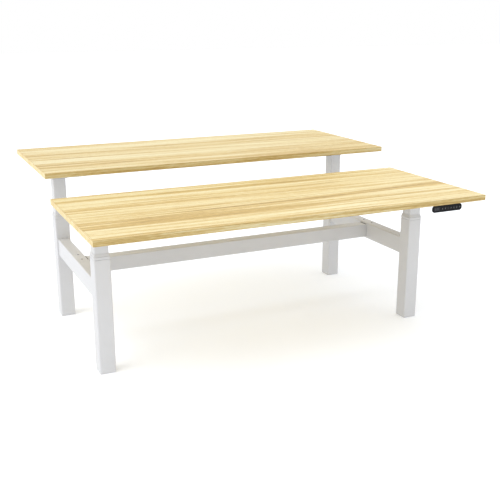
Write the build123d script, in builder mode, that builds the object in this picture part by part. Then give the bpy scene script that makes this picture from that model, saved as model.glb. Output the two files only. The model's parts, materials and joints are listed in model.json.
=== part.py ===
from build123d import *
import os

# Two-person sit-stand desk: two desktops stand back to back on one shared underframe.
# Four lifting columns rise from two side rails, and one long beam joins the rails.
# Each desktop rides on its own pair of columns, so the two heights change separately.
# Origin: centre of the footprint on the floor. +X runs along the desktops, +Y from the
# front desktop to the back one, +Z up. Millimetres.
# The back desktop is screwed on further out over its columns than the front one, so the
# underframe's middle lies in front of the footprint's middle, at y = FRAME_Y. Every frame
# piece is drawn about the underframe's own middle and moved there as it is written.

# ---------------------------------------------------------------- desktops
TOP_LENGTH = 1800.0
TOP_DEPTH = 750.0
TOP_THICKNESS = 25.0
TOP_GAP = 86.0
TOP_EDGE_RADIUS = 1.5
TOP_CENTRE_Y = -(TOP_GAP + TOP_DEPTH) / 2
FRAME_Y = -28.0
FRONT_SURFACE_Z = 694.0
BACK_SURFACE_Z = 792.0
LOWEST_SURFACE_Z = 694.0

# ---------------------------------------------------------------- columns
COLUMN_X = 782.0
COLUMN_Y = 380.0
OUTER_WIDTH = 70.0
OUTER_DEPTH = 73.0
OUTER_CORNER = 5.0
INNER_WIDTH = 61.0
INNER_DEPTH = 63.0
INNER_CORNER = 4.0
COLUMN_WALL = 2.0
OUTER_BOTTOM_Z = 1.0
OUTER_TOP_Z = 508.0
INNER_BOTTOM_Z = 24.0
SLIDE_CLEARANCE = 0.3

COLLAR_BAND = 11.4
COLLAR_GROOVE_HEIGHT = 1.6
COLLAR_GROOVE_DEPTH = 2.2
COLLAR_SLOPE = 10.4
COLLAR_LIP = 1.2
COLLAR_SKIRT = 14.0
UPPER_GLIDE_Z = 452.0
UPPER_GLIDE_HEIGHT = 34.0
LOWER_GLIDE_HEIGHT = 24.0
LOWER_GLIDE_DROP = 2.0

# ---------------------------------------------------------------- levelling feet
FOOT_RADIUS = 26.0
FOOT_HEIGHT = 5.5
FOOT_STUD_RADIUS = 5.0
FOOT_STUD_TOP_Z = 32.0
FOOT_SOLE_RADIUS = 1.0
FOOT_SHOULDER_RADIUS = 1.5
FOOT_THREAD_CLEARANCE = 0.1

# ---------------------------------------------------------------- lifting screws
BASE_PLATE_Z = 7.0
BASE_PLATE_THICKNESS = 6.0
NUT_TUBE_RADIUS = 14.0
NUT_TUBE_BORE = 10.0
NUT_FLANGE_RADIUS = 20.0
NUT_FLANGE_THICKNESS = 6.0
NUT_Z = 430.0
NUT_RADIUS = 15.0
NUT_HEIGHT = 32.0
SPINDLE_RADIUS = 8.0
SPINDLE_BOTTOM_Z = 48.0
SPINDLE_CLEARANCE = 0.3
SPINDLE_CHAMFER = 2.0
SPINDLE_TOP_GAP = 1.0

# ---------------------------------------------------------------- side rails and beam
RAIL_WIDTH = 55.0
RAIL_HEIGHT = 84.0
RAIL_WALL = 2.5
RAIL_CORNER = 5.0
RAIL_CENTRE_Z = 365.0
BEAM_WIDTH = 62.0
BEAM_HEIGHT = 70.0
BEAM_WALL = 2.5
BEAM_CORNER = 4.0
BEAM_SLOT = 6.0
RAIL_BRACKET_LENGTH = 40.0
RAIL_BRACKET_WALL = 4.0
RAIL_BRACKET_PLATE = 6.0
BRACKET_GAP = 1.0
SADDLE_LENGTH = 176.0
SADDLE_THICKNESS = 6.0
SPIGOT_REACH = 50.0
SPIGOT_WALL = 4.0
SPIGOT_CORNER = 5.0
BEAM_SCREW_SPREAD = 12.0
RAIL_SCREW_Y = 39.0
ACCESSORY_HOLE_Y = 78.0
ACCESSORY_HOLE_RADIUS = 2.5

# ---------------------------------------------------------------- under-desk frame
ARM_WIDTH = 78.0
ARM_HEIGHT = 30.0
ARM_END_HEIGHT = 14.0
ARM_CENTRE_Y = -386.0
ARM_LENGTH = 460.0
ARM_FLAT_LENGTH = 300.0
ARM_PLATE = 3.0
CROSS_RAIL_WIDTH = 40.0
CROSS_RAIL_HEIGHT = 20.0
CROSS_RAIL_WALL = 2.0
CROSS_RAIL_CORNER = 3.0
CROSS_RAIL_SPREAD = 130.0
CROSS_RAIL_Z = -15.0
END_PLATE_WIDTH = 72.0
END_PLATE_HEIGHT = 22.0
END_PLATE_SCREW_SPREAD = 28.0

# ---------------------------------------------------------------- gearboxes and motors
HOUSING_WIDTH = 66.0
HOUSING_HEIGHT = 55.0
HOUSING_CORNER = 5.0
HOUSING_FLOOR = 8.0
HOUSING_ROOF = 8.0
HOUSING_SCREW_SPREAD = 27.0
HOUSING_SCREW_DEPTH = 12.0
HOUSING_HOLE_DEPTH = 13.0
WHEEL_RADIUS = 15.5
WHEEL_THICKNESS = 18.0
WHEEL_HUB_RADIUS = 11.0
WHEEL_HUB_HEIGHT = 26.0
WHEEL_FIT = 0.05
WHEEL_CAVITY_RADIUS = 18.0
WORM_OFFSET = 22.0
WORM_RADIUS = 6.0
WORM_BORE_RADIUS = 8.0
WORM_END_GAP = 2.0
MOTOR_AXIS_Z = -33.0
MOTOR_RADIUS = 24.0
MOTOR_FLANGE_RADIUS = 25.0
MOTOR_FLANGE = 6.0
MOTOR_LENGTH = 94.0
MOTOR_CAP_RADIUS = 21.0
MOTOR_CAP = 10.0
MOTOR_SHAFT_RADIUS = 4.0
MOTOR_SHAFT_LENGTH = 18.0
MOTOR_NOTCH_GAP = 2.0
WORM_LENGTH = 32.0

# ---------------------------------------------------------------- control box
BOX_LENGTH = 250.0
BOX_DEPTH = 90.0
BOX_HEIGHT = 32.0
BOX_X = -330.0
BOX_TAB_LENGTH = 290.0
BOX_TAB_DEPTH = 44.0
BOX_TAB = 2.0
BOX_CORNER = 5.0
BOX_EDGE = 2.0
BOX_SCREW_INSET = 10.0
INLET_WIDTH = 27.0
INLET_HEIGHT = 20.0
INLET_DEPTH = 16.0
INLET_CORNER = 3.0
INLET_PIN_SPREAD = 7.0
INLET_PIN_Z = 2.0
INLET_PIN_DROP = 4.0
INLET_PIN_WIDTH = 2.0
INLET_PIN_HEIGHT = 4.0
INLET_PIN_LENGTH = 13.0
SOCKET_WIDTH = 13.0
SOCKET_HEIGHT = 10.0
SOCKET_DEPTH = 12.0
SOCKET_PITCH = 22.0

# ---------------------------------------------------------------- handset
HANDSET_X = 688.5
HANDSET_LENGTH = 160.0
HANDSET_HEIGHT = 31.0
HANDSET_DEPTH = 24.0
HANDSET_PLATE = 6.0
HANDSET_BODY_INSET = 20.0
HANDSET_BODY_MARGIN = 3.0
HANDSET_BODY_CORNER = 6.0
HANDSET_CORNER = 13.0
HANDSET_SETBACK = 1.0
HANDSET_EDGE = 1.2
TONGUE_LENGTH = 110.0
TONGUE_DEPTH = 60.0
TONGUE_THICKNESS = 4.0
TONGUE_LAP = 8.0
TONGUE_CORNER = 6.0
TONGUE_SCREW_INSET = 12.0
DISPLAY_X = 632.0
DISPLAY_WIDTH = 31.0
DISPLAY_HEIGHT = 16.0
DISPLAY_DEPTH = 2.0
DISPLAY_CORNER = 2.0
FIRST_BUTTON_X = 661.5
BUTTON_PITCH = 15.5
BUTTON_COUNT = 7
BUTTON_WIDTH = 11.0
BUTTON_HEIGHT = 13.0
BUTTON_CORNER = 2.5
BUTTON_EDGE = 0.5
BUTTON_THICKNESS = 3.2
BUTTON_PROUD = 0.8
BUTTON_WELL = 4.0
BUTTON_CLEARANCE = 0.3

# ---------------------------------------------------------------- screws
SCREW_RADIUS = 3.0
SCREW_CLEARANCE = 0.1
SCREW_HEAD_RADIUS = 5.0
SCREW_HEAD = 2.4
SCREW_LENGTH = 11.0
WOOD_SCREW_RADIUS = 2.2
WOOD_SCREW_HEAD_RADIUS = 4.5
WOOD_SCREW_HEAD = 2.5
WOOD_SCREW_DEPTH = 15.0
WOOD_SCREW_TIP_GAP = 1.0
WOOD_SCREW_HEAD_TAPER = 20.0
FLAT_SCREW_RADIUS = 2.5
FLAT_SCREW_HEAD_RADIUS = 4.8
COUNTERSINK_ANGLE = 90.0

# ---------------------------------------------------------------- worked-out sizes
FRONT_UNDERSIDE_Z = FRONT_SURFACE_Z - TOP_THICKNESS
BACK_UNDERSIDE_Z = BACK_SURFACE_Z - TOP_THICKNESS
LOWEST_UNDERSIDE_Z = LOWEST_SURFACE_Z - TOP_THICKNESS
HOUSING_TOP = -ARM_PLATE
HOUSING_BOTTOM = HOUSING_TOP - HOUSING_HEIGHT
INNER_BOTTOM = INNER_BOTTOM_Z - LOWEST_UNDERSIDE_Z
SPINDLE_BOTTOM = SPINDLE_BOTTOM_Z - LOWEST_UNDERSIDE_Z
HOUSING_FACE_X = COLUMN_X - HOUSING_WIDTH / 2
ARM_INNER_X = COLUMN_X - ARM_WIDTH / 2
CROSS_RAIL_REACH = ARM_INNER_X - ARM_PLATE
OUTER_INSIDE_WIDTH = OUTER_WIDTH - 2 * COLUMN_WALL
OUTER_INSIDE_DEPTH = OUTER_DEPTH - 2 * COLUMN_WALL
OUTER_INSIDE_CORNER = OUTER_CORNER - COLUMN_WALL
RAIL_REACH = COLUMN_Y - OUTER_DEPTH / 2
RAIL_TOP_Z = RAIL_CENTRE_Z + RAIL_HEIGHT / 2
RAIL_BOTTOM_Z = RAIL_CENTRE_Z - RAIL_HEIGHT / 2
BEAM_REACH = COLUMN_X - RAIL_WIDTH / 2
BEAM_TOP_Z = RAIL_CENTRE_Z + BEAM_HEIGHT / 2
BEAM_BOTTOM_Z = RAIL_CENTRE_Z - BEAM_HEIGHT / 2
SADDLE_TOP_Z = RAIL_TOP_Z - RAIL_WALL
SPIGOT_WIDTH = BEAM_WIDTH - 2 * BEAM_WALL - 2 * BRACKET_GAP
SPIGOT_BOTTOM_Z = BEAM_BOTTOM_Z + BEAM_WALL
SPIGOT_HEIGHT = BEAM_HEIGHT - 2 * BEAM_WALL - 2 * BRACKET_GAP
HANDSET_FACE_Y = TOP_CENTRE_Y - TOP_DEPTH / 2 + HANDSET_SETBACK
HANDSET_BACK_Y = HANDSET_FACE_Y + HANDSET_DEPTH
HANDSET_CENTRE_Z = -HANDSET_HEIGHT / 2

SIDES = {"left": -1, "right": 1}
COLUMN_PLACES = {
    "front_left": (-COLUMN_X, -COLUMN_Y),
    "front_right": (COLUMN_X, -COLUMN_Y),
    "back_left": (-COLUMN_X, COLUMN_Y),
    "back_right": (COLUMN_X, COLUMN_Y),
}

# Wood screws: four in each side arm and two in the control box's tabs, placed about the
# underframe's middle, and two in the handset's tongue, placed about the desktop's own
# origin. Each entry is a place and the thickness it clamps.
ARM_SCREW_SPREADS = (-215.0, -170.0, 170.0, 215.0)
ARM_SCREW_PLACES = [
    (side * COLUMN_X, ARM_CENTRE_Y + spread)
    for side in SIDES.values()
    for spread in ARM_SCREW_SPREADS
]
BOX_SCREW_X = BOX_TAB_LENGTH / 2 - BOX_SCREW_INSET
BOX_SCREW_PLACES = [(BOX_X + end * BOX_SCREW_X, ARM_CENTRE_Y) for end in (-1, 1)]
TONGUE_SCREW_X = TONGUE_LENGTH / 2 - TONGUE_SCREW_INSET
TONGUE_SCREW_Y = HANDSET_BACK_Y + TONGUE_DEPTH / 2
HANDSET_SCREW_PLACES = [(HANDSET_X + end * TONGUE_SCREW_X, TONGUE_SCREW_Y) for end in (-1, 1)]
FRAME_WOOD_SCREWS = [(place, ARM_PLATE) for place in ARM_SCREW_PLACES]
FRAME_WOOD_SCREWS += [(place, BOX_TAB) for place in BOX_SCREW_PLACES]
HANDSET_WOOD_SCREWS = [(place, TONGUE_THICKNESS) for place in HANDSET_SCREW_PLACES]
HOUSING_SCREW_PLACES = [
    (side * COLUMN_X + dx * HOUSING_SCREW_SPREAD, -COLUMN_Y + dy * HOUSING_SCREW_SPREAD)
    for side in SIDES.values()
    for dx in (-1, 1)
    for dy in (-1, 1)
]
CROSS_RAIL_PLACES = [ARM_CENTRE_Y + step * CROSS_RAIL_SPREAD for step in (-1, 1)]
END_SCREW_PLACES = [
    (y + step * END_PLATE_SCREW_SPREAD, CROSS_RAIL_Z)
    for y in CROSS_RAIL_PLACES
    for step in (-1, 1)
]


def write(piece, name, shift_y=0.0):
    """Label one finished piece, move it along Y and write it to its own file."""
    part = piece.part.moved(Location((0, shift_y, 0)))
    part.label = name
    export_step(part, f"parts/{name}.step")


def within(frame, plane):
    """A work plane given in the directions of a frame."""
    return Plane(frame.location * plane.location)


def tube_outline(width, depth, wall, corner):
    """The section of a rectangular tube with rounded corners."""
    RectangleRounded(width, depth, corner)
    RectangleRounded(width - 2 * wall, depth - 2 * wall, corner - wall, mode=Mode.SUBTRACT)


# ================================================================ shared underframe
def outer_column(place):
    """The thick lower tube of one lifting column."""
    with BuildPart() as column:
        with BuildSketch(Plane((*place, OUTER_BOTTOM_Z))):
            tube_outline(OUTER_WIDTH, OUTER_DEPTH, COLUMN_WALL, OUTER_CORNER)
        extrude(amount=OUTER_TOP_Z - OUTER_BOTTOM_Z)
    return column


def column_collars():
    """The caps on the outer tubes: a skirt inside the tube, a band between two grooves and
    a sloped shoulder. The inner tubes pass through them."""
    hole_width = INNER_WIDTH + 2 * SLIDE_CLEARANCE
    hole_depth = INNER_DEPTH + 2 * SLIDE_CLEARANCE
    lip_width = hole_width + 2 * COLLAR_LIP
    lip_depth = hole_depth + 2 * COLLAR_LIP
    waist_width = OUTER_WIDTH - 2 * COLLAR_GROOVE_DEPTH
    waist_depth = OUTER_DEPTH - 2 * COLLAR_GROOVE_DEPTH
    waist_height = COLLAR_BAND + 2 * COLLAR_GROOVE_HEIGHT
    slope_base_z = OUTER_TOP_Z + waist_height
    with BuildPart() as collars:
        for place in COLUMN_PLACES.values():
            skirt = Plane((*place, OUTER_TOP_Z - COLLAR_SKIRT))
            with BuildSketch(skirt):
                RectangleRounded(OUTER_INSIDE_WIDTH, OUTER_INSIDE_DEPTH, OUTER_INSIDE_CORNER)
            extrude(amount=COLLAR_SKIRT)
            with BuildSketch(Plane((*place, OUTER_TOP_Z))):
                RectangleRounded(waist_width, waist_depth, OUTER_CORNER - COLLAR_GROOVE_DEPTH)
            extrude(amount=waist_height)
            with BuildSketch(Plane((*place, OUTER_TOP_Z + COLLAR_GROOVE_HEIGHT))):
                RectangleRounded(OUTER_WIDTH, OUTER_DEPTH, OUTER_CORNER)
            extrude(amount=COLLAR_BAND)
            with BuildSketch(Plane((*place, slope_base_z))):
                RectangleRounded(OUTER_WIDTH, OUTER_DEPTH, OUTER_CORNER)
            with BuildSketch(Plane((*place, slope_base_z + COLLAR_SLOPE))):
                RectangleRounded(lip_width, lip_depth, OUTER_CORNER)
            loft()
            with BuildSketch(skirt):
                RectangleRounded(hole_width, hole_depth, INNER_CORNER)
            extrude(amount=COLLAR_SKIRT + waist_height + COLLAR_SLOPE, mode=Mode.SUBTRACT)
    return collars


def upper_glides():
    """Plastic sleeves in the tops of the outer tubes, which guide the inner tubes."""
    with BuildPart() as glides:
        for place in COLUMN_PLACES.values():
            with BuildSketch(Plane((*place, UPPER_GLIDE_Z))):
                RectangleRounded(OUTER_INSIDE_WIDTH, OUTER_INSIDE_DEPTH, OUTER_INSIDE_CORNER)
                RectangleRounded(
                    INNER_WIDTH + 2 * SLIDE_CLEARANCE,
                    INNER_DEPTH + 2 * SLIDE_CLEARANCE,
                    INNER_CORNER,
                    mode=Mode.SUBTRACT,
                )
            extrude(amount=UPPER_GLIDE_HEIGHT)
    return glides


def nut_tubes():
    """Base plates welded into the outer tubes, each with a tube that carries the nut."""
    plate_top_z = BASE_PLATE_Z + BASE_PLATE_THICKNESS
    with BuildPart() as tubes:
        for place in COLUMN_PLACES.values():
            with BuildSketch(Plane((*place, BASE_PLATE_Z))):
                RectangleRounded(OUTER_INSIDE_WIDTH, OUTER_INSIDE_DEPTH, OUTER_INSIDE_CORNER)
                Circle(FOOT_STUD_RADIUS + FOOT_THREAD_CLEARANCE, mode=Mode.SUBTRACT)
            extrude(amount=BASE_PLATE_THICKNESS)
            with BuildSketch(Plane((*place, plate_top_z))):
                Circle(NUT_TUBE_RADIUS)
                Circle(NUT_TUBE_BORE, mode=Mode.SUBTRACT)
            extrude(amount=NUT_Z - plate_top_z)
            with BuildSketch(Plane((*place, NUT_Z - NUT_FLANGE_THICKNESS))):
                Circle(NUT_FLANGE_RADIUS)
                Circle(NUT_TUBE_BORE, mode=Mode.SUBTRACT)
            extrude(amount=NUT_FLANGE_THICKNESS)
    return tubes


def spindle_nuts():
    """The flanged nuts on the nut tubes, which the turning spindles climb."""
    with BuildPart() as nuts:
        for place in COLUMN_PLACES.values():
            with BuildSketch(Plane((*place, NUT_Z))):
                Circle(NUT_FLANGE_RADIUS)
            extrude(amount=NUT_FLANGE_THICKNESS)
            with BuildSketch(Plane((*place, NUT_Z))):
                Circle(NUT_RADIUS)
            extrude(amount=NUT_HEIGHT)
            with BuildSketch(Plane((*place, NUT_Z))):
                Circle(SPINDLE_RADIUS + SPINDLE_CLEARANCE)
            extrude(amount=NUT_HEIGHT, mode=Mode.SUBTRACT)
    return nuts


def levelling_foot(place):
    """A round pad, wound up into the open end of its tube, on a stud through the base plate."""
    with BuildPart() as foot:
        with BuildSketch(Plane((*place, 0))):
            Circle(FOOT_RADIUS)
        extrude(amount=FOOT_HEIGHT)
        fillet(foot.edges().group_by(Axis.Z)[0], FOOT_SOLE_RADIUS)
        fillet(foot.edges().group_by(Axis.Z)[-1], FOOT_SHOULDER_RADIUS)
        with BuildSketch(Plane((*place, FOOT_HEIGHT))):
            Circle(FOOT_STUD_RADIUS)
        extrude(amount=FOOT_STUD_TOP_Z - FOOT_HEIGHT)
    return foot


def side_rail(side):
    """The tube between the two columns of one end, with the opening for the beam's bracket."""
    x = side * COLUMN_X
    opening_width = SPIGOT_WIDTH + BRACKET_GAP
    opening_height = SPIGOT_HEIGHT + BRACKET_GAP
    with BuildPart() as rail:
        with BuildSketch(Plane((x, RAIL_REACH, RAIL_CENTRE_Z), x_dir=(1, 0, 0), z_dir=(0, -1, 0))):
            tube_outline(RAIL_WIDTH, RAIL_HEIGHT, RAIL_WALL, RAIL_CORNER)
        extrude(amount=2 * RAIL_REACH)
        with Locations((side * (BEAM_REACH + RAIL_WALL / 2), 0, SPIGOT_BOTTOM_Z + SPIGOT_HEIGHT / 2)):
            Box(2 * RAIL_WALL, opening_width, opening_height, mode=Mode.SUBTRACT)
        with BuildSketch(Plane.XY.offset(RAIL_TOP_Z)):
            with Locations((x, -RAIL_SCREW_Y), (x, RAIL_SCREW_Y)):
                Circle(SCREW_RADIUS + SCREW_CLEARANCE)
            with Locations((x, -ACCESSORY_HOLE_Y), (x, ACCESSORY_HOLE_Y)):
                Circle(ACCESSORY_HOLE_RADIUS)
        extrude(amount=-RAIL_WALL, mode=Mode.SUBTRACT)
        with BuildSketch(Plane.XY.offset(RAIL_BOTTOM_Z)):
            with Locations(*[(x, end * rail_screw_y()) for end in (-1, 1)]):
                Circle(SCREW_RADIUS + SCREW_CLEARANCE)
        extrude(amount=RAIL_WALL, mode=Mode.SUBTRACT)
    return rail


def rail_screw_y():
    """Distance from the middle of a rail to the screw in its end bracket."""
    return RAIL_REACH - RAIL_BRACKET_PLATE - (RAIL_BRACKET_LENGTH - RAIL_BRACKET_PLATE) / 2


def rail_brackets():
    """Closed-end sockets welded to the columns, which the side rails slip over."""
    width = RAIL_WIDTH - 2 * RAIL_WALL - 2 * BRACKET_GAP
    height = RAIL_HEIGHT - 2 * RAIL_WALL - BRACKET_GAP
    bottom_z = RAIL_BOTTOM_Z + RAIL_WALL
    corner = RAIL_CORNER - RAIL_WALL
    with BuildPart() as brackets:
        for x, y in COLUMN_PLACES.values():
            inward = -1 if y > 0 else 1
            centre = (x, inward * -RAIL_REACH, bottom_z + height / 2)
            face = Plane(centre, x_dir=(1, 0, 0), z_dir=(0, inward, 0))
            with BuildSketch(face):
                RectangleRounded(width, height, corner)
            extrude(amount=RAIL_BRACKET_LENGTH)
            with BuildSketch(face.offset(RAIL_BRACKET_PLATE)):
                Rectangle(width - 2 * RAIL_BRACKET_WALL, height - 2 * RAIL_BRACKET_WALL)
            extrude(amount=RAIL_BRACKET_LENGTH - RAIL_BRACKET_PLATE, mode=Mode.SUBTRACT)
            with BuildSketch(Plane.XY.offset(bottom_z)):
                with Locations((x, -inward * rail_screw_y())):
                    Circle(SCREW_RADIUS + SCREW_CLEARANCE)
            extrude(amount=RAIL_BRACKET_WALL, mode=Mode.SUBTRACT)
    return brackets


def centre_beam():
    """The long tube between the side rails, with an open slot in its top at each end."""
    slot_width = BEAM_WIDTH - 2 * BEAM_WALL
    with BuildPart() as beam:
        with BuildSketch(Plane.YZ.offset(-BEAM_REACH)):
            with Locations((0, RAIL_CENTRE_Z)):
                tube_outline(BEAM_WIDTH, BEAM_HEIGHT, BEAM_WALL, BEAM_CORNER)
        extrude(amount=2 * BEAM_REACH)
        with BuildSketch(Plane.XY.offset(BEAM_TOP_Z)):
            with Locations(*[(end * (BEAM_REACH - BEAM_SLOT / 2), 0) for end in (-1, 1)]):
                Rectangle(BEAM_SLOT, slot_width)
        extrude(amount=-BEAM_WALL, mode=Mode.SUBTRACT)
        with BuildSketch(Plane.XY.offset(BEAM_BOTTOM_Z)):
            with Locations(*beam_screw_places()):
                Circle(SCREW_RADIUS + SCREW_CLEARANCE)
        extrude(amount=BEAM_WALL, mode=Mode.SUBTRACT)
    return beam


def beam_screw_places():
    """Screws from below the beam into its end brackets."""
    x = BEAM_REACH - SPIGOT_REACH / 2
    return [(end * x, step * BEAM_SCREW_SPREAD) for end in (-1, 1) for step in (-1, 1)]


def beam_brackets():
    """A saddle inside each side rail with a hollow spigot that the beam slips over."""
    saddle_width = RAIL_WIDTH - 2 * RAIL_CORNER
    riser_bottom_z = SPIGOT_BOTTOM_Z + SPIGOT_HEIGHT
    saddle_bottom_z = SADDLE_TOP_Z - SADDLE_THICKNESS
    with BuildPart() as brackets:
        for side in SIDES.values():
            x = side * COLUMN_X
            end = (side * (BEAM_REACH - SPIGOT_REACH), 0, SPIGOT_BOTTOM_Z + SPIGOT_HEIGHT / 2)
            spigot_face = Plane(end, x_dir=(0, 1, 0), z_dir=(side, 0, 0))
            with BuildSketch(spigot_face):
                tube_outline(SPIGOT_WIDTH, SPIGOT_HEIGHT, SPIGOT_WALL, SPIGOT_CORNER)
            extrude(amount=SPIGOT_REACH + RAIL_WALL + saddle_width)
            with BuildSketch(Plane((x, 0, saddle_bottom_z))):
                Rectangle(saddle_width, SADDLE_LENGTH)
            extrude(amount=SADDLE_THICKNESS)
            with BuildSketch(Plane((x, 0, riser_bottom_z - SPIGOT_WALL / 2))):
                Rectangle(saddle_width, SPIGOT_WIDTH / 2)
            extrude(amount=saddle_bottom_z - riser_bottom_z + SPIGOT_WALL / 2)
            with BuildSketch(Plane.XY.offset(SADDLE_TOP_Z)):
                with Locations((x, -RAIL_SCREW_Y), (x, RAIL_SCREW_Y)):
                    Circle(SCREW_RADIUS + SCREW_CLEARANCE)
                with Locations((x, -ACCESSORY_HOLE_Y), (x, ACCESSORY_HOLE_Y)):
                    Circle(ACCESSORY_HOLE_RADIUS)
            extrude(amount=-SADDLE_THICKNESS, mode=Mode.SUBTRACT)
            with BuildSketch(Plane.XY.offset(SPIGOT_BOTTOM_Z)):
                with Locations(*beam_screw_places()):
                    Circle(SCREW_RADIUS + SCREW_CLEARANCE)
            extrude(amount=SPIGOT_WALL, mode=Mode.SUBTRACT)
    return brackets


def button_head_screws(planes):
    """Button-head machine screws. Each plane lies on the clamped face and looks outwards."""
    with BuildPart() as screws:
        for plane in planes:
            with BuildSketch(plane):
                Circle(SCREW_RADIUS)
            extrude(amount=-SCREW_LENGTH)
            with BuildSketch(plane):
                Circle(SCREW_HEAD_RADIUS)
            with BuildSketch(plane.offset(SCREW_HEAD)):
                Circle(SCREW_RADIUS)
            loft()
    return screws


def underframe_screw_planes():
    """Where the underframe's screws sit: on the rails, under the rails and under the beam."""
    up = [
        Plane((side * COLUMN_X, end * RAIL_SCREW_Y, RAIL_TOP_Z))
        for side in (-1, 1)
        for end in (-1, 1)
    ]
    down = [
        Plane((side * COLUMN_X, end * rail_screw_y(), RAIL_BOTTOM_Z), z_dir=(0, 0, -1))
        for side in (-1, 1)
        for end in (-1, 1)
    ]
    beam = [Plane((*place, BEAM_BOTTOM_Z), z_dir=(0, 0, -1)) for place in beam_screw_places()]
    return up + down + beam


# ================================================================ one lifting desktop
# Every piece below is drawn in its desktop's own frame: the origin is on the desktop's
# underside above the object's centre line, local +X is to the right of the person who
# sits there, local -Y is towards that person and local Z is up. The board and the handset
# lie about the footprint's middle. The frame pieces lie about the underframe's middle.
def over_frame(desk):
    """A desktop's plane, moved to lie over the underframe's middle."""
    return Plane(desk.origin + Vector(0, FRAME_Y, 0), x_dir=desk.x_dir, z_dir=desk.z_dir)


def desktop(desk):
    """The wooden board, with pilot holes in its underside."""
    pilots = ((over_frame(desk), FRAME_WOOD_SCREWS), (desk, HANDSET_WOOD_SCREWS))
    with BuildPart() as board:
        with BuildSketch(desk):
            with Locations((0, TOP_CENTRE_Y)):
                Rectangle(TOP_LENGTH, TOP_DEPTH)
        extrude(amount=TOP_THICKNESS)
        fillet(board.edges(), TOP_EDGE_RADIUS)
        for plane, wood_screws in pilots:
            with BuildSketch(plane):
                with Locations(*[place for place, thickness in wood_screws]):
                    Circle(WOOD_SCREW_RADIUS)
            extrude(amount=WOOD_SCREW_DEPTH, mode=Mode.SUBTRACT)
    return board


def inner_column(desk, side):
    """The narrow upper tube of one column."""
    with BuildPart() as column:
        with BuildSketch(within(desk, Plane((side * COLUMN_X, -COLUMN_Y, INNER_BOTTOM)))):
            tube_outline(INNER_WIDTH, INNER_DEPTH, COLUMN_WALL, INNER_CORNER)
        extrude(amount=HOUSING_BOTTOM - INNER_BOTTOM)
    return column


def lower_glides(desk):
    """Plastic sleeves round the bottom ends of the inner tubes."""
    bottom = INNER_BOTTOM - LOWER_GLIDE_DROP
    with BuildPart() as glides:
        for side in SIDES.values():
            with BuildSketch(within(desk, Plane((side * COLUMN_X, -COLUMN_Y, bottom)))):
                RectangleRounded(
                    OUTER_INSIDE_WIDTH - 2 * SLIDE_CLEARANCE,
                    OUTER_INSIDE_DEPTH - 2 * SLIDE_CLEARANCE,
                    OUTER_INSIDE_CORNER,
                )
                RectangleRounded(INNER_WIDTH, INNER_DEPTH, INNER_CORNER, mode=Mode.SUBTRACT)
            extrude(amount=LOWER_GLIDE_HEIGHT)
    return glides


def side_arms(desk):
    """Pressed channels under the desktop, open below, with tapered ends."""
    half = ARM_LENGTH / 2
    flat = ARM_FLAT_LENGTH / 2
    inside_width = ARM_WIDTH - 2 * ARM_PLATE
    notch_top = MOTOR_AXIS_Z + MOTOR_FLANGE_RADIUS + MOTOR_NOTCH_GAP
    notch_height = notch_top + ARM_HEIGHT
    notch_depth = 2 * (MOTOR_FLANGE_RADIUS + MOTOR_NOTCH_GAP)
    notch_length = 4 * ARM_PLATE
    with BuildPart() as arms:
        for side in SIDES.values():
            with BuildSketch(within(desk, Plane.YZ.offset(side * COLUMN_X - ARM_WIDTH / 2))):
                with BuildLine():
                    Polyline(
                        (ARM_CENTRE_Y - half, 0),
                        (ARM_CENTRE_Y - half, -ARM_END_HEIGHT),
                        (ARM_CENTRE_Y - flat, -ARM_HEIGHT),
                        (ARM_CENTRE_Y + flat, -ARM_HEIGHT),
                        (ARM_CENTRE_Y + half, -ARM_END_HEIGHT),
                        (ARM_CENTRE_Y + half, 0),
                        close=True,
                    )
                make_face()
            extrude(amount=ARM_WIDTH)
            with BuildSketch(within(desk, Plane((side * COLUMN_X, ARM_CENTRE_Y, -ARM_PLATE)))):
                Rectangle(inside_width, ARM_LENGTH)
            extrude(amount=-ARM_HEIGHT, mode=Mode.SUBTRACT)
            notch_z = notch_top - notch_height / 2
            notch = Location((side * ARM_INNER_X, -COLUMN_Y + WORM_OFFSET, notch_z))
            with Locations(desk.location * notch):
                Box(notch_length, notch_depth, notch_height, mode=Mode.SUBTRACT)
            with BuildSketch(within(desk, Plane.YZ.offset(side * ARM_INNER_X))):
                with Locations(*END_SCREW_PLACES):
                    Circle(SCREW_RADIUS + SCREW_CLEARANCE)
            extrude(amount=side * ARM_PLATE, mode=Mode.SUBTRACT)
        with BuildSketch(desk):
            with Locations(*ARM_SCREW_PLACES):
                Circle(WOOD_SCREW_RADIUS + SCREW_CLEARANCE)
        extrude(amount=-ARM_PLATE, mode=Mode.SUBTRACT)
        with Locations(*[desk.location * Location((*place, 0)) for place in HOUSING_SCREW_PLACES]):
            CounterSinkHole(
                FLAT_SCREW_RADIUS + SCREW_CLEARANCE,
                FLAT_SCREW_HEAD_RADIUS,
                ARM_PLATE,
                COUNTERSINK_ANGLE,
            )
    return arms


def cross_rails(desk):
    """Two tubes along the desktop between the side arms, with screwed end plates."""
    section = (CROSS_RAIL_WIDTH, CROSS_RAIL_HEIGHT, CROSS_RAIL_WALL, CROSS_RAIL_CORNER)
    with BuildPart() as rails:
        for y in CROSS_RAIL_PLACES:
            with BuildSketch(within(desk, Plane.YZ.offset(-CROSS_RAIL_REACH))):
                with Locations((y, CROSS_RAIL_Z)):
                    tube_outline(*section)
            extrude(amount=2 * CROSS_RAIL_REACH)
            for side in SIDES.values():
                with BuildSketch(within(desk, Plane.YZ.offset(side * CROSS_RAIL_REACH))):
                    with Locations((y, CROSS_RAIL_Z)):
                        Rectangle(END_PLATE_WIDTH, END_PLATE_HEIGHT)
                        with Locations((-END_PLATE_SCREW_SPREAD, 0), (END_PLATE_SCREW_SPREAD, 0)):
                            Circle(SCREW_RADIUS + SCREW_CLEARANCE, mode=Mode.SUBTRACT)
                extrude(amount=side * ARM_PLATE)
    return rails


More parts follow.
